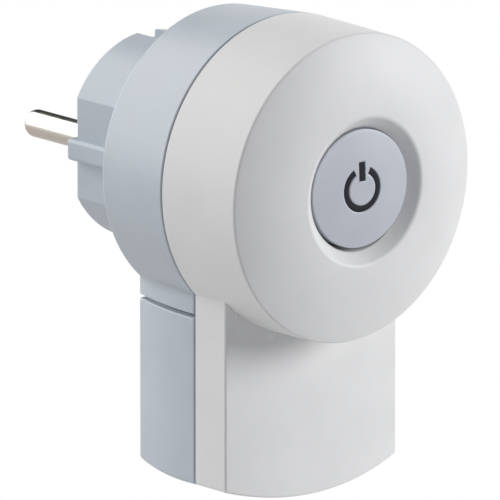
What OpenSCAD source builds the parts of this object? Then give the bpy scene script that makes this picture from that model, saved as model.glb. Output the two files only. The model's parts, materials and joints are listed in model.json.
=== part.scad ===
// Rewirable mains plug with a push-button switch in its front.
// The origin is the middle of the nose's end face, +Y is the way the pins point, +Z is up.
// Pieces are laid out from the joint plane between the front and rear shells.

/* [Head] */
// Radius of the head at the joint between the shells
head_r = 27.1; // [26:0.1:29]
// Narrowing of the head from the joint to its front rim
front_taper = 0.3; // [0.1:0.1:1.5]
// Depth of the front shell from the joint to the rim
front_depth = 18; // [17:0.1:20]
// Rise of the front dome above the rim
dome_rise = 3.6; // [2.5:0.1:4]
// Radius inside which the dome would be level
dome_level_r = 10.6; // [8:0.1:12]
// Narrowing of the ring from the joint to its back face
ring_taper = 1.4; // [0.2:0.1:1.7]
// Depth of the ring behind the joint
ring_depth = 17.3; // [16.5:0.1:20]
// Bevel round the ring's back edge
ring_bevel = 0.6; // [0.2:0.1:1]

/* [Nose] */
// Radius of the nose
nose_r = 18.15; // [17.9:0.05:18.3]
// Depth of the flats on the nose's sides
flat_depth = 2.3; // [1.6:0.05:2.6]
// Length of the nose behind the ring
nose_len = 17.5; // [16:0.1:19]
// Rise of a side rib above its flat
rib_rise = 2.15; // [1:0.05:2.25]
// Height of a side rib
rib_h = 3.9; // [3:0.1:5]
// Wall thickness of the nose
nose_t = 3; // [2.6:0.1:3.4]
// Thickness of the nose's end plate
nose_plate_t = 2.6; // [2:0.1:3.5]

/* [Stem] */
// Half width of the stem at the joint
stem_half_w = 19.6; // [19:0.1:20.5]
// Narrowing of each side of the stem from the joint to its back
stem_taper = 2.6; // [1.6:0.1:3]
// Depth of the stem's side strip in front of the joint
stem_edge_depth = 7.8; // [7.2:0.1:9]
// Bulge of the stem's front face past its side edges
stem_bulge = 1.5; // [0.8:0.1:2.5]
// Depth of the foot's middle below the axis
stem_drop = 55.3; // [54:0.1:60]
// Rise of the foot from its middle to its side corners
foot_rise = 3.25; // [2:0.05:4]
// Distance behind the joint at which the foot is lowest
foot_crest = 3.1; // [2:0.1:5]
// Depth of the seam between rear shell and cord cover below the axis
seam_drop = 22.3; // [21.6:0.1:22.6]
// Width of that seam
seam_gap = 0.6; // [0.3:0.1:1]

/* [Button] */
// Radius of the push button
button_r = 10.3; // [9.5:0.05:11]
// Depth of the button's rim below the top of the dome
button_sink = 1.55; // [0.9:0.05:2]
// Rise of the button's domed face over its rim
button_rise = 0.5; // [0.2:0.05:0.8]
// Thickness of the button's face plate at its rim
button_plate_t = 2; // [1.6:0.1:2.4]
// Wall of the button's skirt
button_skirt_t = 1.6; // [1.2:0.1:2]
// Width of the dimple's flank round the button
dimple_w = 1.9; // [1.2:0.05:2.4]
// Clearance between the button and its hole
button_gap = 0.35; // [0.2:0.05:0.6]
// Travel of the button
button_travel = 2.5; // [2:0.1:2.8]
// Outer radius of the power symbol
symbol_r = 4; // [3.5:0.1:5]
// Stroke of the power symbol
symbol_stroke = 1.2; // [0.8:0.05:1.4]
// Width of the symbol's upright bar
symbol_bar_w = 1.4; // [0.9:0.05:1.6]
// Reach of the symbol's bar past its ring
symbol_over = 0.75; // [0.5:0.05:1]
// Length of the symbol's bar
symbol_bar = 3.35; // [3:0.05:4]
// Depth of the symbol's recess under the top of the face
symbol_depth = 0.6; // [0.4:0.1:1]
// Depth of the symbol under the top of the face
symbol_sink = 0.2; // [0.15:0.05:0.35]
// Half angle of the gap at the symbol's top, degrees
symbol_gap_angle = 26; // [20:1:40]
// Ledge between the dimple's flank and the button's hole
dimple_ledge = 0.25; // [0.1:0.05:0.4]
// Height of the button's rim over that ledge
button_proud = 0.6; // [0.2:0.05:0.8]
// Wall of the guide collar round the button
collar_t = 1.6; // [1.2:0.1:2]
// Step of the button's retaining flange past its hole
flange_step = 1.2; // [0.8:0.1:1.4]
// Thickness of that flange
flange_t = 1.2; // [0.8:0.1:1.6]
// Play of that flange behind the collar
flange_play = 0.2; // [0.1:0.05:0.4]
// Air left between the pressed flange and the switch
flange_room = 0.6; // [0.3:0.1:1]

/* [Pins] */
// Diameter of a contact pin
pin_d = 4.8; // [4:0.1:5]
// Free length of a pin beyond the nose
pin_len = 19; // [17:0.5:21]
// Distance between the pin axes
pin_pitch = 19; // [18:0.5:20]
// Rounding of a pin's tip
pin_tip_r = 1.6; // [1:0.1:1.9]
// Wall of the pin bosses in the nose
pin_boss_t = 2; // [1.6:0.1:2.4]
// Length of the pin bosses behind the nose's end plate
pin_boss_len = 10.2; // [8:0.1:12]
// Thickness of a pin's collar
pin_collar_t = 2; // [1.5:0.1:2.5]
// Step from a pin's contact length down to its stem in the nose
pin_step = 0.3; // [0.2:0.05:0.5]
// Depth of the recess round a pin in the nose's face
pin_recess = 0.4; // [0.3:0.1:0.8]
// Air between a pin and the wall of that recess
pin_recess_air = 0.4; // [0.3:0.05:0.8]
// Step of a pin's collar past its stem
pin_collar_step = 1.05; // [0.7:0.05:1.05]
// Step from a pin's stem down to its riveted tail
pin_tail_step = 0.25; // [0.15:0.05:0.5]
// Step of the rivet head past the tail
rivet_step = 1; // [0.6:0.1:1.2]
// Height of the rivet head
rivet_t = 0.8; // [0.6:0.1:1]
// Distance of the riveted strip from the ring's floor
rivet_room = 2.9; // [2:0.1:3.5]

/* [Earth] */
// Distance of the earth socket above the pins
earth_offset = 10; // [9:0.1:11]
// Bore radius of the earth socket
earth_bore_r = 2.5; // [2.3:0.05:2.7]
// Wall of the earth socket
earth_tube_t = 0.9; // [0.6:0.1:1.2]
// Width of the earth clip
clip_w = 4; // [3:0.1:5]
// Depth of the channels for the clip in the nose
channel_depth = 1.5; // [1:0.1:1.6]
// Distance from the clip's ends to the nose's end face
clip_setback = 3.5; // [2:0.1:6]

/* [Walls and fits] */
// Wall thickness of the shells
shell_t = 2.2; // [1.8:0.1:2.4]
// Gap that shows between front and rear shell
joint_gap = 0.3; // [0.2:0.05:0.6]
// Thickness of the locating lip behind that gap
lip_t = 1.15; // [0.8:0.05:1.4]
// Reach of the locating lip into the front shell
lip_reach = 2; // [1:0.1:3]
// Reach of the cord cover's tongues past the seam
tongue_reach = 3; // [2:0.1:3.2]
// Distance of those tongues from the earth clip and the side walls
tongue_room = 2; // [1.5:0.1:3]
// Side clearance of the locating lip and other loose fits
loose_fit = 0.15; // [0.1:0.05:0.25]
// Clearance of a piece in its seat
seat_fit = 0.05; // [0.03:0.01:0.1]

/* [Metal strips] */
// Thickness of the contact strips
strip_t = 0.8; // [0.6:0.1:1]
// Width of the contact strips
strip_w = 4; // [3:0.1:4.4]

/* [Switch] */
// Half width of the switch housing
switch_half_w = 13; // [12.5:0.1:13.4]
// Half height of the switch housing
switch_half_h = 10; // [9.8:0.1:11]
// Distance of the switch's front face in front of the joint
switch_front = 6.5; // [6:0.1:6.8]
// Depth of the switch housing
switch_depth = 14; // [13.8:0.1:15]
// Wall of the switch housing
switch_t = 2; // [1.6:0.1:2.2]
// Radius of a contact point
contact_r = 1.3; // [1:0.1:1.5]
// Air left between contact points at full travel
contact_air = 0.1; // [0.05:0.05:0.3]
// Half width of the plunger's stem
plunger_half = 3.2; // [3:0.1:3.4]
// Air round the plunger in the switch's cover
plunger_air = 0.3; // [0.2:0.05:0.5]
// Thickness of the plunger's arms
arm_t = 3.2; // [2.6:0.1:3.4]
// Height of a moving contact point
tip_h = 0.9; // [0.6:0.1:1.2]
// Depth of the button's socket for the plunger
socket_depth = 4.5; // [3:0.1:5]
// Floor of that socket behind the button's plate
socket_floor = 1.2; // [0.8:0.1:1.6]
// Wall of that socket
socket_t = 1.2; // [0.8:0.1:1.6]
// Radius of the spring's guide post
guide_r = 1.2; // [1:0.1:1.5]
// Length of the guide post inside the plunger
guide_grip = 2; // [1.5:0.1:2.5]
// Distance of a strip's leg from its contact point's edge
leg_room = 1; // [0.8:0.1:1.2]
// Distance of a strip's leg from the switch's top or bottom
leg_edge = 0.9; // [0.8:0.1:1.2]
// Distance of the ear screws from the switch's side
ear_screw = 5; // [4.6:0.1:5]
// Reach of the switch's ears past their screws
ear_end = 2.4; // [2.2:0.1:2.6]
// Half height of the switch's ears
ear_half_h = 3; // [2.6:0.1:3.4]
// Radius of the posts under the ears
post_r = 2.4; // [2:0.1:2.6]
// Shank radius of the ear screws
small_screw_r = 1.2; // [1:0.05:1.4]
// Head radius of the ear screws
small_head_r = 2.1; // [1.8:0.05:2.3]
// Head height of the ear screws
small_head_h = 1.5; // [1.2:0.1:2]
// Shank length of the ear screws
small_screw_len = 6.5; // [5:0.1:7]

/* [Spring and latch] */
// Coil radius of the return spring, at the wire's middle
spring_r = 2.4; // [2.2:0.1:2.5]
// Wire diameter of the return spring
spring_wire = 0.5; // [0.4:0.05:0.6]
// Turns of the return spring
spring_turns = 5; // [4:1:6]
// Swing of the latch lever over the button's travel, degrees
latch_swing = 8; // [5:0.5:9]
// Thickness of the latch lever
lever_t = 1.1; // [0.8:0.1:1.3]
// Width of the latch lever
lever_w = 2; // [1.8:0.1:2.4]
// Air between the lever's end and the switch's cover
lever_room = 1; // [0.6:0.1:1.4]
// Distance of the lever's pivot from the switch's floor
lever_back = 1.6; // [1.4:0.1:2]
// Radius of the lever's groove pin
lever_pin_r = 0.6; // [0.5:0.05:0.7]
// Radius of the lever's pivot
pivot_r = 0.9; // [0.7:0.05:1]
// Depth of the groove in the plunger
groove_depth = 1.3; // [1:0.1:1.5]
// Air round the groove pin
groove_air = 0.25; // [0.2:0.05:0.35]
// Air between the lever and the plunger
lever_air = 0.3; // [0.2:0.05:0.4]
// Half width of the pivot's block
pivot_block_half = 2.2; // [1.8:0.1:2.4]

/* [Terminals] */
// Height of a terminal
terminal_h = 10; // [9.4:0.1:11]
// Depth of a terminal
terminal_depth = 8; // [7:0.1:8.4]
// Radius of a terminal's wire hole
wire_r = 1.6; // [1.2:0.1:1.8]
// Distance of the wire hole from a terminal's front
wire_inset = 3.5; // [3:0.1:4]
// Distance of the terminals below the seam
terminal_room = 1.1; // [0.8:0.1:1.5]
// Overlap of the strips on the terminals
strip_lap = 3.5; // [3:0.1:3.6]
// Air between a strip's end and the terminal screw's head
strip_air = 0.4; // [0.3:0.1:0.6]
// Thickness of the terminal tray
tray_t = 2; // [1.6:0.1:2.4]
// Distance of the tray's front in front of the joint
tray_front = 1.3; // [1:0.1:2]
// Distance of the tray from the cord cover's side lips
tray_room = 1.2; // [0.6:0.1:1.6]
// Air between a terminal and a partition
terminal_air = 0.9; // [0.6:0.1:1]
// Border of the tray beside the outer terminals
tray_border = 1.4; // [1:0.1:1.6]
// Thickness of the tray's partitions
tray_rib_t = 1.2; // [1:0.1:1.4]
// Radius of the posts that carry the tray
tray_post_r = 2.2; // [1.8:0.1:2.6]

/* [Cord entry] */
// Bore radius of the cord bush
cord_r = 4; // [3.6:0.1:4.2]
// Wall of the cord bush
bush_t = 1.8; // [1.4:0.1:2]
// Width of the clamp along the cord
clamp_w = 5; // [4:0.1:5.6]
// Gap between the clamp's bar and its saddle
clamp_gap = 0.5; // [0.3:0.1:1]
// Thickness of the clamp's bar over the cord
clamp_t = 2.7; // [2:0.1:3.2]
// Distance of the clamp's screws from the cord
clamp_screw_gap = 2.3; // [2.2:0.1:2.4]
// Reach of the clamp past its screws
clamp_end = 2.6; // [2.4:0.1:2.7]
// Depth of the clamp's screws in the saddle
clamp_grip = 5; // [4:0.1:5.4]
// Thickness of the bush's flange
bush_flange_t = 2; // [1.4:0.1:2.4]
// Length of the bush above the foot's wall
bush_len = 6; // [4:0.1:6.2]
// Depth of the bush's end above the foot's lowest point
bush_sink = 0.4; // [0.2:0.1:0.8]
// Air under the bush's flange
bush_air = 0.6; // [0.4:0.1:1]

/* [Screws] */
// Shank radius of the screws
screw_r = 1.45; // [1.2:0.05:1.6]
// Head radius of the screws
screw_head_r = 2.6; // [2.4:0.05:2.7]
// Head height of the screws
screw_head_h = 2; // [1.6:0.1:2.2]
// Distance of the housing screws from the ring's back edge
screw_inset = 4.1; // [3.9:0.05:4.3]
// Distance of the cover screws from the stem's back edges
cover_screw_side = 4.2; // [3.8:0.1:4.4]
// Height of the cover screws above the foot's side corners
cover_screw_lift = 4.75; // [4.4:0.05:5]
// Wall of a screw boss round its counterbore
boss_t = 0.9; // [0.7:0.1:1]
// Play of a screw in its clearance hole
screw_play = 0.25; // [0.15:0.05:0.35]
// Depth of the housing screws' heads below the ring's back
housing_sink = 3; // [2.4:0.1:4]
// Depth of the housing screws in the front shell
housing_grip = 8; // [6:0.1:10]
// Distance of the cover screws' heads behind the joint
cover_seat = 3; // [2:0.1:5]
// Depth of the cover screws in the front shell
cover_grip = 5; // [4:0.1:5.4]
// Width of the screws' slots
screw_slot_w = 0.8; // [0.6:0.1:1]
// Depth of the screws' slots
screw_slot_depth = 0.8; // [0.5:0.1:1]

/* [Hidden] */
$fn = 96;
// Sides of the large circle that a shallow dome is cut from
dome_facets = 360;

// Casing colours
white_abs = "#E2E2E2";
grey_abs = "#B4B9C4";
dark_abs = "#33363B";
brass = "#C9A24B";
copper = "#B87445";
nickel = "#C4C2BE";
steel = "#9A9DA1";

// A length by which cutting shapes pass the faces they cut
past = 1;

// Places along Y, from the joint plane
joint_y = -(nose_len + ring_depth);
nose_end = ring_depth + nose_len;
plate_in = nose_end - nose_plate_t;
floor_in = ring_depth - shell_t;

// Head, nose and stem outlines
front_rim_r = head_r - front_taper;
ring_back_r = head_r - ring_taper;
nose_flat = nose_r - flat_depth;
rib_reach = nose_flat + rib_rise;
stem_back_half_w = stem_half_w - stem_taper;
dome_w = front_rim_r - dome_level_r;
dome_r = (pow(dome_w, 2) + pow(dome_rise, 2)) / (2 * dome_rise);
dome_top = front_depth + dome_rise;
front_in_r = front_rim_r - shell_t;
stem_mid_depth = stem_edge_depth + stem_bulge;
stem_face_r = (pow(stem_half_w, 2) + pow(stem_bulge, 2)) / (2 * stem_bulge);
stem_side_r = (pow(ring_depth, 2) + pow(stem_taper, 2)) / (2 * stem_taper);
foot_r = (pow(stem_half_w, 2) + pow(foot_rise, 2)) / (2 * foot_rise);
foot_z = foot_r - stem_drop;
foot_ball_r = sqrt(pow(foot_r, 2) + pow(foot_crest, 2));
stem_far = stem_drop + foot_r;
cover_top = -(seam_drop + seam_gap);

// Locating lip and the rear shell's hollow
lip_r = front_in_r - loose_fit;
ring_in_r = lip_r - lip_t;

// Button and its guide
button_hole_r = button_r + button_gap;
button_rim = dome_top - button_sink;
button_top = button_rim + button_rise;
button_dome_r = (pow(button_r, 2) + pow(button_rise, 2)) / (2 * button_rise);
dimple_floor = button_rim - button_proud;
dimple_foot_r = button_hole_r + dimple_ledge;
dimple_r = dimple_foot_r + dimple_w;
dome_at_dimple = dome_top - dome_r + sqrt(pow(dome_r, 2) - pow(dimple_r - dome_level_r, 2));
dimple_slope = dimple_w / (dome_at_dimple - dimple_floor);
collar_end = switch_front + flange_room + button_travel + flange_t + flange_play;
flange_r = button_hole_r + flange_step;
flange_front = collar_end - flange_play;
button_inside = button_rim - button_plate_t;

// Switch, with the plunger's arms just behind its cover
switch_back = switch_depth - switch_front;
switch_floor = switch_back - switch_t;
switch_lid = switch_front - switch_t;
arm_front = switch_lid - plunger_air;
arm_back = arm_front - arm_t;
tip_face = -arm_back + strip_t + tip_h;
fixed_face = tip_face + button_travel + contact_air;
plate_face = switch_floor - strip_t;
plunger_head = button_inside - socket_floor;
socket_r = plunger_half * sqrt(2) + socket_t;
guide_bore_r = guide_r + loose_fit;
guide_tip = -(arm_back + guide_grip);
bridge_x = (plunger_half + switch_half_w - switch_t) / 2;
leg_z = switch_half_h - leg_edge;
contact_z = leg_z - leg_room - contact_r;
contact_edge = contact_z + contact_r + loose_fit;
ear_x = switch_half_w + ear_screw;
ear_reach = ear_x + ear_end;

// Latch lever: a bar under the plunger on an upright pivot, with a pin in the plunger's groove
lever_top = -(plunger_half + lever_air);
lever_low = lever_top - lever_t;
lever_pivot = switch_floor - lever_back;
lever_tip = lever_room + lever_w / 2 - switch_lid;
lever_len = lever_pivot - lever_tip;
lever_pin_top = groove_depth - lever_air - plunger_half;
groove_half = lever_pin_r + groove_air;
groove_shift = lever_len * sin(latch_swing);
groove_angle = atan(groove_shift / button_travel);
groove_run = button_travel / cos(groove_angle);
pivot_low = -(switch_half_h - switch_t);

// Pins and the strips riveted to them
pin_x = pin_pitch / 2;
pin_r = pin_d / 2;
pin_stem_r = pin_r - pin_step;
pin_boss_r = pin_r + pin_boss_t;
pin_boss_end = plate_in - pin_boss_len;
pin_collar_r = pin_stem_r + pin_collar_step;
pin_collar_end = pin_boss_end - pin_collar_t;
pin_tail_r = pin_stem_r - pin_tail_step;
rivet_face = floor_in - rivet_room;
rivet_seat = rivet_face - strip_t;
rivet_r = pin_tail_r + rivet_step;
pin_recess_floor = nose_end - pin_recess;

// Terminals in a row below the seam, as wide as the tray and its partitions let them be
side_lip = stem_half_w - shell_t - loose_fit;
tray_half_w = side_lip - lip_t - tray_room;
terminal_pitch = (tray_half_w - tray_border + tray_rib_t / 2 + terminal_air) * 2 / 3;
terminal_w = terminal_pitch - tray_rib_t - 2 * terminal_air;
terminal_top = cover_top - terminal_room;
terminal_low = terminal_top - terminal_h;
terminal_front = tray_t - tray_front;
terminal_back = terminal_front + terminal_depth;
strip_end = terminal_top - strip_lap;
screw_z = strip_end - strip_air - screw_head_r;
wire_y = terminal_front + wire_inset;
tray_low = terminal_low - tray_border;
tray_top = terminal_top + terminal_room / 2;
tray_post_x = tray_half_w - tray_post_r;

// Earth
earth_tube_r = earth_bore_r + earth_tube_t;
clip_z = nose_r - channel_depth;
web_front = floor_in - strip_t;
step_z = cover_top + strip_t;

// Screws
screw_circle_r = ring_back_r - screw_inset;
cover_screw_x = stem_back_half_w - cover_screw_side;
cover_screw_z = foot_rise + cover_screw_lift - stem_drop;
clear_r = screw_r + screw_play;
pilot_r = screw_r + seat_fit;
screw_boss_r = screw_head_r + boss_t;
counterbore_r = screw_head_r + loose_fit;
housing_seat = ring_depth - housing_sink;
front_boss_r = screw_head_r + boss_t / 2;

// Cord bush, and the clamp halfway between it and the terminal tray
clamp_screw_x = cord_r + clamp_screw_gap;
clamp_half = clamp_screw_x + clamp_end;
clamp_bar_back = cord_r + clamp_t;
bush_neck_r = cord_r + bush_t;
bush_flange_r = stem_mid_depth - shell_t - loose_fit;
bush_low = -(stem_drop - bush_sink);
bush_shelf = -(stem_drop - shell_t - bush_air);
bush_high = bush_shelf + bush_len;
clamp_z = (tray_low + bush_high) / 2;
clamp_low = clamp_z - clamp_w / 2;
clamp_high = clamp_z + clamp_w / 2;

// Placing and building blocks

module at_joint() {
    translate([0, joint_y, 0])
        children();
}

// A round bar along Y
module rod(r, from, to, x = 0, z = 0) {
    translate([x, from, z])
        rotate([-90, 0, 0])
            cylinder(r = r, h = to - from);
}

// A round bar along Y whose radius changes evenly
module taper(r1, r2, from, to) {
    translate([0, from, 0])
        rotate([-90, 0, 0])
            cylinder(r1 = r1, r2 = r2, h = to - from);
}

// An upright round bar
module post(r, low, high, x = 0, y = 0) {
    translate([x, y, low])
        cylinder(r = r, h = high - low);
}

// A box between two values on each axis
module slab(x, y, z) {
    translate([x[0], y[0], z[0]])
        cube([x[1] - x[0], y[1] - y[0], z[1] - z[0]]);
}

module both_sides() {
    children();
    mirror([1, 0, 0])
        children();
}

// The four housing screw places
module at_housing_screws() {
    for (a = [45 : 90 : 315])
        translate([screw_circle_r * cos(a), 0, screw_circle_r * sin(a)])
            children();
}

// A slotted cheese-head screw along Y, its head's underside at y = 0 and its shank toward -Y
module screw(len, r = screw_r, head_r = screw_head_r, head_h = screw_head_h) {
    difference() {
        union() {
            rod(r, -len, 0);
            rod(head_r, 0, head_h);
        }
        slab([-head_r - past, head_r + past], [head_h - screw_slot_depth, head_h + past],
            [-screw_slot_w / 2, screw_slot_w / 2]);
    }
}

// Shell forms

// The round head in front of the joint, cut by the dome
module head_form() {
    slope = (head_r - front_rim_r) / front_depth;
    turned_from_front()
        intersection() {
            polygon([[0, 0], [front_rim_r - slope * dome_rise, 0], [head_r, dome_top], [0, dome_top]]);
            dome_profile(0);
        }
}

module head_hollow() {
    turned_from_front()
        intersection() {
            square([front_in_r, dome_top + past]);
            dome_profile(shell_t);
        }
}

// A half section turned about the axis, its start at the top of the dome
module turned_from_front() {
    translate([0, -dome_top, 0])
        rotate([-90, 0, 0])
            rotate_extrude()
                children();
}

// Half section of the dome, drawn in by inset: level in the middle, then one arc to the rim
module dome_profile(inset) {
    translate([0, inset])
        square([dome_level_r, dome_r]);
    translate([dome_level_r, dome_r])
        circle(r = dome_r - inset, $fn = dome_facets);
}

// The stem in front of the joint, drawn in by inset on every side but the top and the joint
module front_stem(inset, top, reach = 0) {
    intersection() {
        slab([-(stem_half_w - inset), stem_half_w - inset], [-stem_mid_depth - past, reach],
            [-stem_drop - past, top]);
        post(stem_face_r - inset, -stem_drop - 2 * past, top + past, 0, stem_face_r - stem_mid_depth);
        rod(foot_r - inset, -stem_mid_depth - 2 * past, reach + past, 0, foot_z);
    }
}

// The stem behind the joint, drawn in by inset on every side but the top and the joint
module rear_stem(inset, low, top, from) {
    intersection() {
        slab([-stem_half_w - past, stem_half_w + past], [from, ring_depth - inset], [low, top]);
        both_sided_arc(inset, low, top);
        translate([0, foot_crest, foot_z])
            sphere(r = foot_ball_r - inset);
    }
}

module both_sided_arc(inset, low, top) {
    centre = stem_half_w - stem_side_r;
    intersection() {
        post(stem_side_r - inset, low - past, top + past, centre);
        post(stem_side_r - inset, low - past, top + past, -centre);
    }
}

module nose_form() {
    intersection() {
        rod(nose_r, floor_in, nose_end);
        slab([-nose_flat, nose_flat], [floor_in - past, nose_end + past], [-nose_r - past, nose_r + past]);
    }
    slab([-rib_reach, rib_reach], [floor_in, nose_end], [-rib_h / 2, rib_h / 2]);
}

module nose_hollow() {
    hollow_half = nose_flat - nose_t;
    intersection() {
        rod(nose_r - nose_t, floor_in - past, plate_in);
        slab([-hollow_half, hollow_half], [floor_in - 2 * past, plate_in + past], [-nose_r, nose_r]);
    }
}

// Grooves for the earth clip along the nose's top and bottom
module clip_channels() {
    half = clip_w / 2 + loose_fit;
    for (side = [0, 180])
        rotate([0, side, 0]) {
            slab([-half, half], [ring_depth, nose_end + past], [clip_z, nose_r + past]);
            slab([-half, half], [floor_in - past, ring_depth + past],
                [clip_z - seat_fit, clip_z + strip_t + seat_fit]);
        }
}

// Sub-parts

module front_shell() {
    color(white_abs)
        at_joint()
            difference() {
                union() {
                    difference() {
                        front_form();
                        head_hollow();
                        front_stem(shell_t, -stem_half_w / 2, past);
                    }
                    intersection() {
                        front_fittings();
                        front_form();
                    }
                }
                front_cuts();
            }
}

module front_form() {
    head_form();
    front_stem(0, 0);
}

// Button guide, screw bosses, cord saddle and the posts of the terminal tray
module front_fittings() {
    rod(button_hole_r + collar_t, -dome_top, -collar_end);
    at_housing_screws()
        rod(front_boss_r, -dome_top, 0);
    both_sides() {
        rod(screw_boss_r, -stem_mid_depth, 0, cover_screw_x, cover_screw_z);
        rod(tray_post_r, -stem_mid_depth, -tray_front, tray_post_x, terminal_low + terminal_h / 2);
    }
    slab([-clamp_half, clamp_half], [-stem_mid_depth, 0], [clamp_low, clamp_high]);
}

module front_cuts() {
    rod(button_hole_r, -dome_top - past, 0);
    taper(dimple_r + past * dimple_slope, dimple_foot_r, -dome_at_dimple - past, -dimple_floor);
    at_housing_screws()
        rod(pilot_r, -housing_grip - past, past);
    both_sides() {
        rod(pilot_r, -cover_grip - past / 2, past, cover_screw_x, cover_screw_z);
        rod(pilot_r, -clamp_grip - past / 2, past, clamp_screw_x, clamp_z);
    }
    post(cord_r, clamp_low - past, clamp_high + past);
    post(bush_neck_r + loose_fit, -stem_drop - past, bush_shelf + past);
}

module rear_shell() {
    color(grey_abs)
        at_joint()
            difference() {
                union() {
                    difference() {
                        rear_form();
                        rod(ring_in_r, -lip_reach - past, floor_in);
                        rear_stem(shell_t, -seam_drop - past, -stem_half_w / 2, -lip_reach - past);
                        nose_hollow();
                    }
                    rear_fittings();
                }
                rear_cuts();
            }
}

// Ring with a bevelled back edge, cut off at the seam, nose, the block beside it and the locating lip
module rear_form() {
    bevel_r = ring_back_r + (head_r - ring_back_r) * ring_bevel / ring_depth;
    difference() {
        union() {
            taper(head_r, bevel_r, joint_gap, ring_depth - ring_bevel);
            taper(bevel_r, ring_back_r - ring_bevel, ring_depth - ring_bevel, ring_depth);
        }
        slab([-head_r, head_r], [0, ring_depth + past], [-head_r - past, -seam_drop]);
    }
    rear_stem(0, -seam_drop, 0, joint_gap);
    nose_form();
    difference() {
        rod(lip_r, -lip_reach, joint_gap + past);
        at_housing_screws()
            rod(front_boss_r + loose_fit, -lip_reach - past, joint_gap + 2 * past);
        slab([-head_r, head_r], [-lip_reach - past, joint_gap + 2 * past],
            [-head_r - past, -stem_half_w / 2]);
    }
}

// Pin bosses, housing screw bosses and the posts of the switch
module rear_fittings() {
    at_housing_screws()
        rod(screw_boss_r, 0, floor_in + past / 2);
    both_sides() {
        rod(pin_boss_r, pin_boss_end, plate_in + past / 2, pin_x);
        rod(post_r, switch_back, floor_in + past / 2, ear_x);
    }
}

module rear_cuts() {
    at_housing_screws() {
        rod(clear_r, -past, ring_depth + past);
        rod(counterbore_r, housing_seat, ring_depth + past);
    }
    both_sides() {
        rod(pin_stem_r + seat_fit, pin_boss_end - past, nose_end + past, pin_x);
        rod(pin_r + pin_recess_air, pin_recess_floor, nose_end + past, pin_x);
        rod(pin_collar_r + loose_fit, pin_collar_end - past, pin_boss_end, pin_x);
        rod(small_screw_r + seat_fit, switch_back - past, switch_back + small_screw_len, ear_x);
    }
    rod(earth_bore_r + loose_fit, plate_in - past, nose_end + past, 0, earth_offset);
    clip_channels();
}

module cord_cover() {
    tongue_back = floor_in - loose_fit;
    tongue_x = [clip_w / 2 + tongue_room, stem_back_half_w - shell_t - tongue_room];
    tongue_low = cover_top - tongue_reach;
    lip_low = cover_screw_z + screw_boss_r + loose_fit;
    color(grey_abs)
        at_joint()
            difference() {
                union() {
                    difference() {
                        rear_stem(0, -stem_far, cover_top, joint_gap);
                        rear_stem(shell_t, -stem_far, cover_top + past, joint_gap - past);
                    }
                    intersection() {
                        both_sides()
                            rod(screw_boss_r, 0, ring_depth, cover_screw_x, cover_screw_z);
                        rear_stem(0, -stem_far, cover_top, 0);
                    }
                    both_sides() {
                        slab(tongue_x, [tongue_back - lip_t, tongue_back],
                            [tongue_low, cover_top + tongue_reach]);
                        slab(tongue_x, [tongue_back - lip_t, floor_in + past / 2],
                            [tongue_low, cover_top - lip_t]);
                    }
                    intersection() {
                        both_sides() {
                            slab([side_lip - lip_t, side_lip], [-lip_reach, joint_gap], [lip_low, cover_top]);
                            slab([side_lip - lip_t, stem_half_w], [joint_gap, joint_gap + lip_reach],
                                [lip_low, cover_top]);
                        }
                        both_sided_arc(shell_t / 2, -stem_far, 0);
                    }
                }
                both_sides() {
                    rod(clear_r, -past, ring_depth + past, cover_screw_x, cover_screw_z);
                    rod(counterbore_r, cover_seat, ring_depth + past, cover_screw_x, cover_screw_z);
                }
                post(bush_neck_r + loose_fit, -stem_drop - past, bush_shelf + past);
            }
}

module push_button() {
    color(grey_abs)
        at_joint()
            difference() {
                union() {
                    difference() {
                        button_form();
                        rod(button_r - button_skirt_t, -button_inside, 0);
                    }
                    difference() {
                        rod(flange_r, -flange_front, -flange_front + flange_t);
                        rod(button_r - button_skirt_t, -button_rim, 0);
                    }
                    rod(socket_r, -button_inside - past / 2, socket_depth - plunger_head);
                }
                plunger_bar(seat_fit, plunger_head);
                translate([0, -button_top, 0])
                    symbol_form(0, -past, symbol_depth);
            }
}

// The button's outside down to its flange, with a slightly domed face
module button_form() {
    translate([0, -button_top, 0])
        rotate([-90, 0, 0])
            rotate_extrude()
                intersection() {
                    square([button_r, button_top - flange_front]);
                    translate([0, button_dome_r])
                        circle(r = button_dome_r, $fn = dome_facets);
                }
}

// The on/off sign: a ring open at the top and an upright bar
module symbol_form(inset, front, back) {
    half = symbol_stroke / 2 - inset;
    bar_half = symbol_bar_w / 2 - inset;
    mid_r = symbol_r - symbol_stroke / 2;
    gap_w = 2 * symbol_r * tan(symbol_gap_angle);
    bar_top = symbol_r + symbol_over;
    bar_low = bar_top - symbol_bar;
    difference() {
        rod(mid_r + half, front, back);
        rod(mid_r - half, front - past, back + past);
        translate([0, back + past, 0])
            rotate([90, 0, 0])
                linear_extrude(back - front + 2 * past)
                    polygon([[0, 0], [-gap_w, 2 * symbol_r], [gap_w, 2 * symbol_r]]);
    }
    slab([-bar_half, bar_half], [front, back], [bar_low + inset, bar_top - inset]);
}

module power_symbol() {
    color(dark_abs)
        at_joint()
            translate([0, -button_top, 0])
                symbol_form(seat_fit, symbol_sink, symbol_depth);
}

// The plunger's square bar, from the button's socket to the switch's arms
module plunger_bar(grow, front) {
    half = plunger_half + grow;
    slab([-half, half], [-front, -arm_back], [-half, half]);
}

module plunger() {
    arm_reach = bridge_x + strip_w / 2;
    color(dark_abs)
        at_joint()
            difference() {
                union() {
                    plunger_bar(0, plunger_head);
                    slab([-arm_reach, arm_reach], [-arm_front, -arm_back], [-plunger_half, plunger_half]);
                }
                rod(guide_bore_r, guide_tip - button_travel - past, past);
                latch_groove();
            }
}

// Slanted groove in the plunger's underside for the lever's pin
module latch_groove() {
    translate([0, lever_tip, -plunger_half - past])
        rotate([0, 0, groove_angle])
            union() {
                post(groove_half, 0, groove_depth + past);
                post(groove_half, 0, groove_depth + past, 0, -groove_run);
                slab([-groove_half, groove_half], [-groove_run, 0], [0, groove_depth + past]);
            }
}

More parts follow.
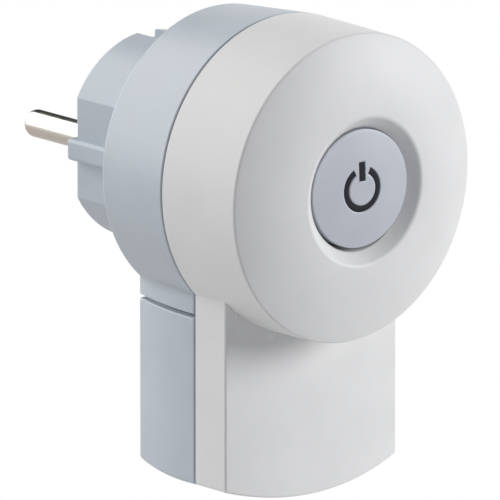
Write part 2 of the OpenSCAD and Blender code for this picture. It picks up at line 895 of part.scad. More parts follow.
// Bars with two contact points each, on the back of the plunger's arms
module bridge(x) {
    half = strip_w / 2 - loose_fit;
    at_joint() {
        slab([x - half, x + half], [-arm_back, -arm_back + strip_t], [-contact_edge, contact_edge]);
        for (z = [-contact_z, contact_z])
            rod(contact_r, -arm_back + strip_t, tip_face, x, z);
    }
}

module line_bridge() {
    color(copper)
        bridge(-bridge_x);
}

module neutral_bridge() {
    color(copper)
        bridge(bridge_x);
}

module switch_base() {
    wall_x = switch_half_w - switch_t;
    wall_z = switch_half_h - switch_t / 2;
    block = [lever_pivot - pivot_block_half, switch_floor + past / 2];
    slot_half = strip_w / 2 + loose_fit;
    slot_z = strip_t / 2 + loose_fit;
    color(dark_abs)
        at_joint()
            difference() {
                union() {
                    difference() {
                        slab([-switch_half_w, switch_half_w], [-switch_lid, switch_back],
                            [-switch_half_h, switch_half_h]);
                        slab([-wall_x, wall_x], [-switch_lid - past, switch_floor], [-wall_z, wall_z]);
                    }
                    slab([-ear_reach, ear_reach], [switch_floor, switch_back], [-ear_half_h, ear_half_h]);
                    rod(guide_r, guide_tip, switch_floor + past / 2);
                    slab([-pivot_block_half, pivot_block_half], block,
                        [-switch_half_h, lever_low - loose_fit]);
                }
                both_sides()
                    rod(small_screw_r + loose_fit, switch_floor - past, switch_back + past, ear_x);
                post(pivot_r + seat_fit, pivot_low, lever_top, 0, lever_pivot);
                both_sides()
                    for (side = [-1, 1])
                        slab([bridge_x - slot_half, bridge_x + slot_half],
                            [switch_floor - past, switch_back + past],
                            [side * leg_z - slot_z, side * leg_z + slot_z]);
            }
}

module switch_cover() {
    hole = plunger_half + plunger_air;
    color(dark_abs)
        at_joint()
            difference() {
                slab([-switch_half_w, switch_half_w], [-switch_front, -switch_lid],
                    [-switch_half_h, switch_half_h]);
                slab([-hole, hole], [-switch_front - past, -switch_lid + past], [-hole, hole]);
            }
}

module switch_screws() {
    color(steel)
        at_joint()
            both_sides()
                translate([ear_x, switch_floor, 0])
                    rotate([180, 0, 0])
                        screw(small_screw_len, small_screw_r, small_head_r, small_head_h);
}

// A helix of round wire along Y, swept with six sides and eight rings a turn
module return_spring() {
    sides = 6;
    per_turn = 8;
    rings = per_turn * spring_turns + 1;
    thick = spring_wire / 2;
    low = thick - arm_back;
    high = switch_floor - thick;
    function turn(i) = 360 / per_turn * i;
    function round_wire(k) = 360 / sides * k;
    function along(i) = low + (high - low) * i / (rings - 1);
    points = [for (i = [0 : rings - 1], k = [0 : sides - 1])
        let (out = spring_r + thick * cos(round_wire(k)))
        [out * cos(turn(i)), along(i) + thick * sin(round_wire(k)), out * sin(turn(i))]];
    walls = [for (i = [0 : rings - 2], k = [0 : sides - 1])
        let (a = i * sides + k, b = i * sides + (k + 1) % sides)
        each [[a, b, a + sides], [b, b + sides, a + sides]]];
    ends = [for (k = [1 : sides - 2])
        each [[0, k + 1, k], [(rings - 1) * sides, (rings - 1) * sides + k, (rings - 1) * sides + k + 1]]];
    color(steel)
        at_joint()
            polyhedron(points, concat(walls, ends));
}

module latch_lever() {
    color(steel)
        at_joint()
            union() {
                slab([-lever_w / 2, lever_w / 2], [lever_tip, lever_pivot], [lever_low, lever_top]);
                post(lever_w / 2, lever_low, lever_top, 0, lever_pivot);
                post(lever_w / 2, lever_low, lever_top, 0, lever_tip);
                post(lever_pin_r, lever_low, lever_pin_top, 0, lever_tip);
                post(pivot_r, pivot_low + loose_fit, lever_low + lever_t / 2, 0, lever_pivot);
            }
}

// A pin with a rounded tip outside, a collar on its boss and a riveted tail inside
module contact_pin(x) {
    at_joint()
        translate([x, 0, 0]) {
            rod(pin_r, nose_end, nose_end + pin_len - pin_tip_r);
            translate([0, nose_end + pin_len - pin_tip_r, 0])
                rotate([-90, 0, 0])
                    rotate_extrude()
                        pin_tip_profile();
            rod(pin_stem_r, pin_boss_end, nose_end);
            rod(pin_collar_r, pin_collar_end, pin_boss_end);
            rod(pin_tail_r, rivet_seat, pin_collar_end);
            rod(rivet_r, rivet_seat - rivet_t, rivet_seat);
        }
}

// A quarter round between the pin's wall and the flat of its tip
module pin_tip_profile() {
    square([pin_r - pin_tip_r, pin_tip_r]);
    intersection() {
        translate([pin_r - pin_tip_r, 0])
            circle(r = pin_tip_r);
        square([pin_r, pin_tip_r]);
    }
}

module line_pin() {
    color(nickel)
        contact_pin(-pin_x);
}

module neutral_pin() {
    color(nickel)
        contact_pin(pin_x);
}

module earth_socket() {
    color(brass)
        at_joint()
            difference() {
                rod(earth_tube_r, floor_in, plate_in, 0, earth_offset);
                rod(earth_bore_r, floor_in - past, plate_in + past, 0, earth_offset);
            }
}

// One stamped strip: two legs in the nose's channels, a web inside and a tail to the earth terminal
module earth_clip() {
    half = clip_w / 2;
    leg_end = nose_end - clip_setback;
    color(nickel)
        at_joint()
            union() {
                for (side = [0, 180])
                    rotate([0, side, 0])
                        slab([-half, half], [web_front, leg_end], [clip_z, clip_z + strip_t]);
                slab([-half, half], [web_front, floor_in], [step_z - strip_t, clip_z + strip_t]);
                slab([-half, half], [terminal_back, floor_in], [step_z - strip_t, step_z]);
                slab([-half, half], [terminal_back, terminal_back + strip_t], [strip_end, step_z]);
            }
}

// Fixed contact on the switch's floor, a leg through the floor and a web to the pin's rivet
module pin_strip(side) {
    x = side * bridge_x;
    half = strip_w / 2;
    leg = [leg_z - strip_t / 2, leg_z + strip_t / 2];
    web = [min(x - half, side * pin_x - rivet_r), max(x + half, side * pin_x + rivet_r)];
    at_joint()
        difference() {
            union() {
                fixed_contact(x, 1);
                slab([x - half, x + half], [plate_face, rivet_face], leg);
                slab(web, [rivet_seat, rivet_face], [-rivet_r, leg_z + strip_t / 2]);
            }
            rod(pin_tail_r + seat_fit, rivet_seat - past, rivet_face + past, side * pin_x);
        }
}

// Fixed contact on the switch's floor, a leg through the floor and a tail down to the terminal
module terminal_strip(side) {
    x = side * bridge_x;
    half = strip_w / 2;
    tail_back = terminal_back + strip_t;
    at_joint()
        union() {
            fixed_contact(x, -1);
            slab([x - half, x + half], [plate_face, tail_back], [-leg_z - strip_t / 2, -leg_z + strip_t / 2]);
            slab([x - half, x + half], [terminal_back, tail_back], [strip_end, -leg_z + strip_t / 2]);
        }
}

module fixed_contact(x, up) {
    half = strip_w / 2;
    edges = [up * (contact_z - contact_r), up * (leg_z + strip_t / 2)];
    slab([x - half, x + half], [plate_face, switch_floor], [min(edges), max(edges)]);
    rod(contact_r, fixed_face, plate_face + strip_t / 2, x, up * contact_z);
}

module line_in_strip() {
    color(copper)
        pin_strip(-1);
}

module neutral_in_strip() {
    color(copper)
        pin_strip(1);
}

module line_out_strip() {
    color(copper)
        terminal_strip(-1);
}

module neutral_out_strip() {
    color(copper)
        terminal_strip(1);
}

// A brass block with a wire hole from below and a screw hole from behind
module terminal(x) {
    at_joint()
        difference() {
            slab([x - terminal_w / 2, x + terminal_w / 2], [terminal_front, terminal_back],
                [terminal_low, terminal_top]);
            post(wire_r, terminal_low - past, screw_z + 2 * screw_r, x, wire_y);
            rod(pilot_r, wire_y, terminal_back + past, x, screw_z);
        }
}

module line_terminal() {
    color(brass)
        terminal(-terminal_pitch);
}

module neutral_terminal() {
    color(brass)
        terminal(terminal_pitch);
}

module earth_terminal() {
    color(brass)
        terminal(0);
}

module terminal_screws() {
    color(steel)
        at_joint()
            for (x = [-terminal_pitch, 0, terminal_pitch])
                translate([x, terminal_back, screw_z])
                    screw(terminal_back - wire_y - wire_r);
}

module terminal_block() {
    rib = [terminal_pitch / 2 - tray_rib_t / 2, terminal_pitch / 2 + tray_rib_t / 2];
    color(white_abs)
        at_joint()
            union() {
                slab([-tray_half_w, tray_half_w], [-tray_front, terminal_front], [tray_low, tray_top]);
                both_sides()
                    slab(rib, [-tray_front, terminal_back - strip_t], [tray_low, tray_top]);
            }
}

module housing_screws() {
    color(steel)
        at_joint()
            at_housing_screws()
                translate([0, housing_seat, 0])
                    screw(housing_seat + housing_grip);
}

module cover_screws() {
    color(steel)
        at_joint()
            both_sides()
                translate([cover_screw_x, cover_seat, cover_screw_z])
                    screw(cover_seat + cover_grip);
}

module clamp_bar() {
    color(dark_abs)
        at_joint()
            difference() {
                slab([-clamp_half, clamp_half], [clamp_gap, clamp_bar_back], [clamp_low, clamp_high]);
                post(cord_r, clamp_low - past, clamp_high + past);
                both_sides()
                    rod(clear_r, -past, clamp_bar_back + past, clamp_screw_x, clamp_z);
            }
}

module clamp_screws() {
    color(steel)
        at_joint()
            both_sides()
                translate([clamp_screw_x, clamp_bar_back, clamp_z])
                    screw(clamp_bar_back + clamp_grip);
}

// A bush held by its flange inside the foot
module cord_grommet() {
    color(dark_abs)
        at_joint()
            difference() {
                union() {
                    post(bush_neck_r, bush_low, bush_high);
                    post(bush_flange_r, bush_shelf, bush_shelf + bush_flange_t);
                }
                post(cord_r, bush_low - past, bush_high + past);
            }
}

front_shell();
rear_shell();
cord_cover();
push_button();
power_symbol();
line_pin();
neutral_pin();
earth_socket();
earth_clip();
line_in_strip();
neutral_in_strip();
line_out_strip();
neutral_out_strip();
line_terminal();
neutral_terminal();
earth_terminal();
terminal_screws();
terminal_block();
switch_base();
switch_cover();
switch_screws();
plunger();
line_bridge();
neutral_bridge();
return_spring();
latch_lever();
housing_screws();
cover_screws();
clamp_bar();
clamp_screws();
cord_grommet();
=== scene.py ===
import json
import math
import bmesh
import bpy
import numpy as np
from mathutils import Matrix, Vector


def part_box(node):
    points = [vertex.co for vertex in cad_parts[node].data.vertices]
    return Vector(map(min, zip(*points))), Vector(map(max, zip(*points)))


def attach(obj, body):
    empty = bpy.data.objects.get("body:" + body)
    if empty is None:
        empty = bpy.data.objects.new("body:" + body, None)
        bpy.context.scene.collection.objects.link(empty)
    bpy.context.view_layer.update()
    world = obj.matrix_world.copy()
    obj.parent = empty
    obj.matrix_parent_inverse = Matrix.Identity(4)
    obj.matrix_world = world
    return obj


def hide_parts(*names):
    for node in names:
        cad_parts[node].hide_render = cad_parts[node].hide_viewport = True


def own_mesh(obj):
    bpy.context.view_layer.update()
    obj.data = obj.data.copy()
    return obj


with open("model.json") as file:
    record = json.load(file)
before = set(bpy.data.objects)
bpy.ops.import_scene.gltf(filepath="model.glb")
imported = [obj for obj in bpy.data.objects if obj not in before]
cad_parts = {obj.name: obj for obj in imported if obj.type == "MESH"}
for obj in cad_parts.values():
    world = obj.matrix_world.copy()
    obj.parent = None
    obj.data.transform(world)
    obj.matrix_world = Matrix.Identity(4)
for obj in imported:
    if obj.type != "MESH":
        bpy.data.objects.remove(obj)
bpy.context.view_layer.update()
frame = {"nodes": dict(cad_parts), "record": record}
mm = 0.001
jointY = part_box("front_shell")[1].y / mm  # joint plane of the shells; v counts from it, minus to the front
skin = 0.03  # mm that new outsides lie inside the CAD ones, so that the CAD copy only gives the inside
slip = 0.01  # mm that keep two faces out of one plane
tuck = 0.02  # mm between a joint's rounded edge and the neck behind it
past = 3.0  # mm that an outside runs on past the joint, for the CAD copy to cut
leastEdge = 0.05  # mm, smallest radius of a corner that is drawn in
print("frame loaded")


def toLinear(code):  # sRGB hex to linear colour, by the standard curve
    parts = np.array([int(code[i:i + 2], 16) for i in (1, 3, 5)]) / 255
    return (*np.where(parts <= 0.04045, parts / 12.92, ((parts + 0.055) / 1.055) ** 2.4), 1.0)


def addNode(tree, kind, settings=None, values=None, links=None):
    node = tree.nodes.new(kind)
    for name, value in (settings or {}).items():
        setattr(node, name, value)
    for socket, value in (values or {}).items():
        node.inputs[socket].default_value = value
    for socket, source in (links or {}).items():
        tree.links.new(source, node.inputs[socket])
    return node


def addObject(name, data):
    added = bpy.data.objects.new(name, data)
    bpy.context.scene.collection.objects.link(added)
    return added


def perMetre(millimetres):  # pattern scale that gives features of that real size
    return 1 / (millimetres * mm)


def newMaterial(name):
    material = bpy.data.materials.new(name)
    material.use_nodes = True
    tree = material.node_tree
    shader = tree.nodes["Principled BSDF"]
    place = addNode(tree, "ShaderNodeTexCoord").outputs["Object"]
    return material, tree, shader, place


noiseLow, noiseHigh = 0.3, 0.7  # nearly all of a noise texture's values lie between these


# tone and roughness follow one noise, and the relief follows the same or another one
def finishSurface(tree, shader, toneNoise, reliefNoise, tones, shine, relief):
    ramp = addNode(tree, "ShaderNodeValToRGB", links={"Fac": toneNoise.outputs["Fac"]})
    for stop, position, tone in zip(ramp.color_ramp.elements, (noiseLow, noiseHigh), tones):
        stop.position = position
        stop.color = toLinear(tone)
    span = {"From Min": noiseLow, "From Max": noiseHigh, "To Min": shine[0], "To Max": shine[1]}
    rough = addNode(tree, "ShaderNodeMapRange", values=span, links={"Value": toneNoise.outputs["Fac"]})
    depth = {"Strength": 1.0, "Distance": relief * mm}
    bump = addNode(tree, "ShaderNodeBump", values=depth, links={"Height": reliefNoise.outputs["Fac"]})
    tree.links.new(ramp.outputs["Color"], shader.inputs["Base Color"])
    tree.links.new(rough.outputs["Result"], shader.inputs["Roughness"])
    tree.links.new(bump.outputs["Normal"], shader.inputs["Normal"])


# moulded thermoplastic: slow change of tone over the part and the fine grain of an eroded mould, sizes in mm
def mouldedPlastic(name, tones, roughness, grain=0.5, relief=0.003, gloss=0.4, cloud=9.0, spread=0.04):
    material, tree, shader, place = newMaterial(name)
    clouds = addNode(tree, "ShaderNodeTexNoise", values={"Scale": perMetre(cloud), "Detail": 2.0},
                     links={"Vector": place})
    speck = addNode(tree, "ShaderNodeTexNoise", values={"Scale": perMetre(grain), "Detail": 3.0},
                    links={"Vector": place})
    finishSurface(tree, shader, clouds, speck, tones, (roughness - spread, roughness + spread), relief)
    shader.inputs["Specular IOR Level"].default_value = gloss
    return material


# worked metal: fine lines left by turning, drawing or rolling, long along the tool's way and close across it
def workedMetal(name, tones, roughness, lines, relief, spread=0.2):
    material, tree, shader, place = newMaterial(name)
    stretch = addNode(tree, "ShaderNodeMapping", values={"Scale": tuple(perMetre(s) for s in lines)},
                      links={"Vector": place})
    trace = addNode(tree, "ShaderNodeTexNoise", values={"Scale": 1.0, "Detail": 4.0},
                    links={"Vector": stretch.outputs["Vector"]})
    shine = (roughness * (1 - spread), roughness * (1 + spread))
    finishSurface(tree, shader, trace, trace, tones, shine, relief)
    shader.inputs["Metallic"].default_value = 1.0
    return material


# plastic grain is about 0.1 mm on the real parts and is drawn coarser here, so that it shows
materials = {
    # injection-moulded white ABS from an eroded mould: soft broad sheen, no sharp reflection
    "white_abs": mouldedPlastic("white_abs_injection_moulded", ("#DFDFDF", "#E3E3E3"), roughness=0.5),
    # injection-moulded cool grey ABS, same mould finish: soft sheen over an even bluish grey
    "grey_abs": mouldedPlastic("grey_abs_injection_moulded", ("#B4BCC5", "#B9C1CA"), roughness=0.4,
                               gloss=0.6),
    # same plastic from the button's own mould: the same soft sheen, a shade lighter
    "grey_cap": mouldedPlastic("grey_abs_button_moulded", ("#BBC0C9", "#C0C5CE"), roughness=0.4,
                               gloss=0.6),
    # dark ABS shot into the button's recess: matt near-black sign with a faint blue
    "dark_print": mouldedPlastic("dark_abs_second_shot", ("#1B1C24", "#202129"), roughness=0.6, grain=0.4,
                                 gloss=0.15),
    # glass-filled PBT of the switch: dull dark grey, slightly rough
    "dark_plastic": mouldedPlastic("pbt_glass_filled_moulded", ("#34363A", "#3D4044"), roughness=0.55,
                                   grain=0.35, relief=0.008),
    # nickel plate on turned and polished brass: bright, slightly soft reflections, faint rings round the pin
    "nickel": workedMetal("nickel_plate_on_turned_brass", ("#C9C6C1", "#D3D0CC"), roughness=0.22,
                          lines=(6.0, 0.3, 6.0), relief=0.00003),
    # turned free-cutting brass: warm yellow with rings
    "brass": workedMetal("brass_turned", ("#BE9A48", "#CDA955"), roughness=0.26,
                         lines=(5.0, 0.3, 5.0), relief=0.002),
    # copper alloy strip, rolled and stamped: reddish, lines along the roll
    "copper": workedMetal("copper_alloy_rolled_strip", ("#B06F42", "#BF7F50"), roughness=0.3,
                          lines=(0.3, 4.0, 4.0), relief=0.002),
    # zinc-plated steel: cool grey, blurred reflection
    "steel": workedMetal("steel_zinc_plated", ("#9A9DA0", "#A9ACAE"), roughness=0.32,
                         lines=(1.2, 1.2, 1.2), relief=0.003),
    # moulded rubber bush: near-black, very dull
    "black_rubber": mouldedPlastic("rubber_moulded", ("#1C1C1E", "#232325"), roughness=0.75, grain=0.4,
                                   relief=0.01),
}
print("materials made", len(materials))


# a path of (a, b) or (a, b, radius): each corner with a radius becomes an arc tangent to both of its legs
def roundCorners(corners, steps=7):
    points = np.array([c[:2] for c in corners], float)
    radii = [c[2] if len(c) > 2 else 0 for c in corners]
    back = np.roll(points, 1, 0) - points
    ahead = np.roll(points, -1, 0) - points
    back /= np.linalg.norm(back, axis=1, keepdims=True)
    ahead /= np.linalg.norm(ahead, axis=1, keepdims=True)
    share = np.linspace(0, 1, steps + 1)[:, None]
    rows = []
    for point, toLast, toNext, radius in zip(points, back, ahead, radii):
        if not radius:
            rows.append(point[None])
            continue
        half = math.acos(np.clip(toLast @ toNext, -1, 1)) / 2
        middle = toLast + toNext
        centre = point + middle / np.linalg.norm(middle) * radius / math.sin(half)
        first, last = (point + way * radius / math.tan(half) - centre for way in (toLast, toNext))
        sweep = math.pi - 2 * half
        spokes = np.sin((1 - share) * sweep) * first + np.sin(share * sweep) * last
        rows.append(centre + spokes / math.sin(sweep))
    return np.concatenate(rows)


def arcRadius(halfChord, rise):  # radius of the arc with that half chord and rise
    return (halfChord ** 2 + rise ** 2) / (2 * rise)


# surface of revolution: (x, z) = centre + radius (cos a, sin a), and v runs along the plug's axis
def revolved(profile, centre=(0, 0), segments=224):
    angle = np.linspace(0, 2 * np.pi, segments, endpoint=False)[None]
    radius, along = profile[:, :1], profile[:, 1:2]
    x = centre[0] + radius * np.cos(angle)
    z = centre[1] + radius * np.sin(angle)
    return np.stack([x, along + 0 * angle, z], -1)


# an outline (a, b) carried from a start height h(a, b) to an end height: a cap that grows from its middle,
# a quarter-round edge, straight walls, and the other edge and cap
def carried(outline, start, end, edges=(0, 0), middle=(0, 0), capRows=14, edgeRows=7, wallRows=10):
    centre, origin = np.array(middle, float), np.zeros(1)
    upward = 1 if end(origin, origin)[0] > start(origin, origin)[0] else -1

    def row(flat, height, lift=0.0):
        return np.column_stack([flat, height(*flat.T) + lift])

    def side(height, edge, way):
        shares = np.linspace(0, 1, capRows)[:-1]
        turns = np.linspace(0, np.pi / 2, edgeRows) if edge else [0.0]
        cap = [row(centre + s * (outline(edge) - centre), height) for s in shares]
        bend = [row(outline(edge * (1 - math.sin(t))), height, way * edge * (1 - math.cos(t))) for t in turns]
        return cap + bend

    first, last = side(start, edges[0], upward), side(end, edges[1], -upward)
    wall = [first[-1] + s * (last[-1] - first[-1]) for s in np.linspace(0, 1, wallRows)[1:-1]]
    return np.stack(first + wall + last[::-1])


def closedEnds(grid):  # each end of a carried strip is closed to its middle
    first, last = (np.repeat(grid[k].mean(0, keepdims=True), grid.shape[1], 0)[None] for k in (0, -1))
    return np.concatenate([first, grid, last])


samePoint, sliver = 1e-7, 5e-7  # m, closer points are merged: on a new grid, and after a cut


def cleaned(mesh, distance, outward=False, thin=False):
    built = bmesh.new()
    built.from_mesh(mesh)
    bmesh.ops.remove_doubles(built, verts=built.verts, dist=distance)
    if thin:
        bmesh.ops.dissolve_degenerate(built, edges=built.edges, dist=distance)
    if outward:
        bmesh.ops.recalc_face_normals(built, faces=built.faces)
    built.to_mesh(mesh)
    built.free()
    return mesh


# grids of (x, v, z) in mm become one mesh, closed round each row and merged at the poles
def solidFrom(name, grids, wrapRows=False):
    points, faces, count = [], [], 0
    for grid in grids:
        rows, columns = grid.shape[:2]
        i = np.arange(rows if wrapRows else rows - 1)[:, None]
        j = np.arange(columns)[None]
        below, beside = (i + 1) % rows, (j + 1) % columns
        corners = [i * columns + j, i * columns + beside, below * columns + beside, below * columns + j]
        faces.append(np.stack(corners, -1).reshape(-1, 4) + count)
        points.append(grid.reshape(-1, 3))
        count += rows * columns
    mesh = bpy.data.meshes.new(name)
    place = (np.concatenate(points) + (0, jointY, 0)) * mm
    mesh.from_pydata(place.tolist(), [], np.concatenate(faces).tolist())
    return addObject(name, cleaned(mesh, samePoint, outward=True))


def cadCopy(node):  # a merged copy of a CAD node's mesh, for its inside
    return addObject(node + "_copy", cleaned(frame["nodes"][node].data.copy(), samePoint))


def combine(piece, other, operation):  # the other solid is used up
    step = piece.modifiers.new(operation, "BOOLEAN")
    step.operation = operation
    step.object = other
    step.solver = "EXACT"
    joined = piece.evaluated_get(bpy.context.evaluated_depsgraph_get())
    result = cleaned(bpy.data.meshes.new_from_object(joined), sliver, thin=True)
    piece.modifiers.clear()
    old = piece.data
    piece.data = result
    bpy.data.meshes.remove(old)
    bpy.data.objects.remove(other)


crease = math.radians(32)  # edges that turn more stay sharp


def dress(piece, slot, body, nodes, finish=None):  # material, smooth shading, body and the CAD nodes replaced
    faces = piece.data.polygons
    piece.data.materials.clear()
    piece.data.materials.append(materials[finish or slot])
    faces.foreach_set("material_index", np.zeros(len(faces), np.int32))
    faces.foreach_set("use_smooth", np.ones(len(faces), bool))
    piece.data.set_sharp_from_angle(angle=crease)
    even = piece.modifiers.new("even_shading", "WEIGHTED_NORMAL")
    even.keep_sharp = True
    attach(piece, body)
    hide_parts(*nodes)
    print(piece.name, len(faces), "faces")


stem = {"halfWide": 19.6, "bulge": 1.5, "edgeDepth": 7.8, "backHalfWide": 17.0, "back": 17.3, "gap": 0.3,
        "drop": 55.3, "footRise": 3.25, "footCrest": 3.1, "seam": 22.3, "coverTop": 22.9, "top": -5.0,
        "frontEdge": 0.45, "backEdge": 0.75, "jointEdge": 0.25, "footEdge": 0.5, "seamEdge": 0.25,
        "coverEdge": 0.3, "tongueIn": 1.4, "tongueReach": 5.0, "frontMiddle": (0, -4), "backMiddle": (0, 8),
        "faceClear": 1.2, "facePoints": 60, "sideClear": 0.6, "backClear": 1.4, "sidePoints": 40}
faceR = arcRadius(stem["halfWide"], stem["bulge"])
sideR = arcRadius(stem["back"], stem["halfWide"] - stem["backHalfWide"])
footR = arcRadius(stem["halfWide"], stem["footRise"])
footZ = footR - stem["drop"]
ballR = math.hypot(footR, stem["footCrest"])
rearJoint = stem["gap"] + slip


# front half in plan: flat sides and a face v = r0 - depth - sqrt(r^2 - x^2), all drawn in by inset
def frontOutline(inset):
    side, r = stem["halfWide"] - skin - inset, faceR - skin - inset
    neck, edge = side - stem["jointEdge"] - tuck, max(stem["frontEdge"] - inset, leastEdge)
    x = np.linspace(stem["faceClear"] - side, side - stem["faceClear"], stem["facePoints"])
    face, faceEnd = (faceR - stem["edgeDepth"] - stem["bulge"] - np.sqrt(r * r - a * a) for a in (x, side))
    return roundCorners([
        (-neck, past), (-neck, -slip), (-side, -slip, stem["jointEdge"]), (-side, faceEnd, edge),
        *zip(x, face),
        (side, faceEnd, edge), (side, -slip, stem["jointEdge"]), (neck, -slip), (neck, past)])


# rear half in plan: sides bow in on arcs x = sqrt(r^2 - v^2) - offset to a flat back, all drawn in by inset
def rearOutline(inset):
    r, back = sideR - skin - inset, stem["back"] - skin - inset
    v = np.linspace(rearJoint + stem["sideClear"], back - stem["backClear"], stem["sidePoints"])
    side, front, corner = (stem["halfWide"] - sideR + np.sqrt(r * r - a * a) for a in (v, rearJoint, back))
    neck, edge = front - stem["jointEdge"] - tuck, max(stem["backEdge"] - inset, leastEdge)
    right = [(neck, -past), (neck, rearJoint), (front, rearJoint, stem["jointEdge"]), *zip(side, v),
             (corner, back, edge)]
    return roundCorners(right + [(-c[0], *c[1:]) for c in right[::-1]])


def level(height):  # flat cap
    return lambda a, b: np.full(a.shape, float(height))


def frontFoot(x, v):  # cylinder along the plug's axis
    return footZ - np.sqrt((footR - skin) ** 2 - x ** 2)


def rearFoot(x, v):  # ball that meets the front's cylinder at the joint
    return footZ - np.sqrt((ballR - skin) ** 2 - x ** 2 - (v - stem["footCrest"]) ** 2)


head = {"r": 27.1, "rimR": 26.8, "depth": 18.0, "domeRise": 3.6, "domeLevelR": 10.6, "rimEdge": 0.6,
        "jointEdge": 0.25, "dimpleR": 12.8, "dimpleFoot": 10.9, "ledge": 19.45, "dimpleEdge": 1.0,
        "flankOut": 0.04, "dimpleClear": 1.7, "rimClear": 0.9, "domePoints": 48}
domeR = arcRadius(head["rimR"] - head["domeLevelR"], head["domeRise"])


def domeV(r):  # one arc, level at domeLevelR, carried round the axis
    crown = domeR - head["depth"] - head["domeRise"]
    return crown - np.sqrt((domeR - skin) ** 2 - (r - head["domeLevelR"]) ** 2)


rimR, wallR = head["rimR"] - skin, head["r"] - skin
neckR = wallR - head["jointEdge"] - tuck
ledgeV = skin - head["ledge"]
flankFootR, flankR = (head[name] + head["flankOut"] for name in ("dimpleFoot", "dimpleR"))
domeArc = np.linspace(head["dimpleR"] + head["dimpleClear"], rimR - head["rimClear"], head["domePoints"])
headProfile = roundCorners([
    (0, ledgeV), (flankFootR, ledgeV), (flankR, domeV(flankR), head["dimpleEdge"]),
    *zip(domeArc, domeV(domeArc)),
    (rimR, domeV(rimR), head["rimEdge"]), (wallR, -slip, head["jointEdge"]), (neckR, -slip), (neckR, past),
    (0, past)])
stemGrid = carried(frontOutline, level(stem["top"]), frontFoot, (0, stem["footEdge"]), stem["frontMiddle"])
frontShell = solidFrom("frontShell", [revolved(headProfile)])
combine(frontShell, solidFrom("frontStem", [stemGrid]), "UNION")
combine(frontShell, cadCopy("front_shell"), "INTERSECT")
dress(frontShell, "white_abs", "housing", ["front_shell"])

ring = {"r": 27.1, "backR": 25.7, "depth": 17.3, "bevel": 0.6, "bevelEdge": 1.0, "jointEdge": 0.25}
bevelR = ring["backR"] + (ring["r"] - ring["backR"]) * ring["bevel"] / ring["depth"]
ringBack = ring["depth"] - skin
ringProfile = roundCorners([
    (0, -past), (neckR, -past), (neckR, rearJoint), (wallR, rearJoint, ring["jointEdge"]),
    (bevelR - skin, ring["depth"] - ring["bevel"] - skin / 2, ring["bevelEdge"]),
    (ring["backR"] - ring["bevel"] - skin / 2, ringBack, ring["bevelEdge"]), (0, ringBack)])

nose = {"r": 18.15, "flat": 15.85, "rib": 18.0, "ribHalf": 1.95, "start": 15.3, "end": 34.8, "flatEdge": 0.7,
        "ribEdge": 0.75, "endEdge": 0.4, "arcClear": 0.05, "arcPoints": 60}


# nose in (x, z): a round clipped by two flats, with a rib standing on each flat, all drawn in by inset
def noseOutline(inset):
    r, flat, rib, high = (nose[size] - skin - inset for size in ("r", "flat", "rib", "ribHalf"))
    flatEdge, ribEdge = (max(nose[edge] - inset, leastEdge) for edge in ("flatEdge", "ribEdge"))
    corner = math.acos(flat / r)
    top = r * math.sin(corner)
    arc = np.linspace(corner + nose["arcClear"], math.pi - corner - nose["arcClear"], nose["arcPoints"])
    upper = [(rib, high, ribEdge), (flat, high), (flat, top, flatEdge),
             *zip(r * np.cos(arc), r * np.sin(arc)),
             (-flat, top, flatEdge), (-flat, high), (-rib, high, ribEdge)]
    return roundCorners(upper + [(-c[0], -c[1], *c[2:]) for c in upper])


blockGrid = carried(rearOutline, level(stem["top"]), level(skin - stem["seam"]), (0, stem["seamEdge"]),
                    stem["backMiddle"])
noseGrid = carried(noseOutline, level(nose["start"]), level(nose["end"] - skin), (0, nose["endEdge"]))
rearShell = solidFrom("rearShell", [revolved(ringProfile)])
combine(rearShell, solidFrom("rearBlock", [blockGrid]), "UNION")
combine(rearShell, solidFrom("noseForm", [noseGrid[..., [0, 2, 1]]]), "UNION")
combine(rearShell, cadCopy("rear_shell"), "INTERSECT")
dress(rearShell, "grey_abs", "housing", ["rear_shell"])


def tongueOutline(inset):  # upright, so it keeps its size
    return rearOutline(stem["tongueIn"])


coverGrid = carried(rearOutline, level(-stem["coverTop"] - skin), rearFoot,
                    (stem["coverEdge"], stem["footEdge"]), stem["backMiddle"])
tongueGrid = carried(tongueOutline, level(stem["tongueReach"] - stem["coverTop"]),
                     level(-stem["tongueReach"] - stem["coverTop"]), middle=stem["backMiddle"])
cordCover = solidFrom("cordCover", [coverGrid])
combine(cordCover, solidFrom("coverTongues", [tongueGrid]), "UNION")
combine(cordCover, cadCopy("cord_cover"), "INTERSECT")
dress(cordCover, "grey_abs", "housing", ["cord_cover"])

button = {"r": 10.3, "rim": 20.05, "rise": 0.65, "edge": 0.18, "plateBack": 18.6, "cutBack": 19.15,
          "capBack": 13.5, "skirtCut": 14.5, "skirtR": 8.75, "lap": 0.35, "lift": 0.29, "tilt": 3.0,
          "faceClear": 0.6, "facePoints": 24, "farR": 14.0, "farV": 9.0}
sign = {"r": 4.0, "stroke": 1.2, "barWide": 1.4, "barTop": 4.75, "barLow": 1.4, "gapAngle": 26, "depth": 0.6,
        "sink": 0.2, "fit": 0.05, "edge": 0.08, "cutOut": 0.4, "arcPoints": 97}
buttonTop = button["rim"] + button["rise"]
buttonDomeR = arcRadius(button["r"], button["rise"])


def buttonV(r):  # ball-shaped face
    return buttonDomeR - buttonTop - np.sqrt(buttonDomeR ** 2 - r ** 2)


# the cap hangs loose in its hole: lifted a little, with its right side further out, v = v0 - x tan(tilt)
def settled(grid):
    x = grid[..., 0]
    return grid + np.stack([0 * x, -x * math.tan(math.radians(button["tilt"])), 0 * x + button["lift"]], -1)


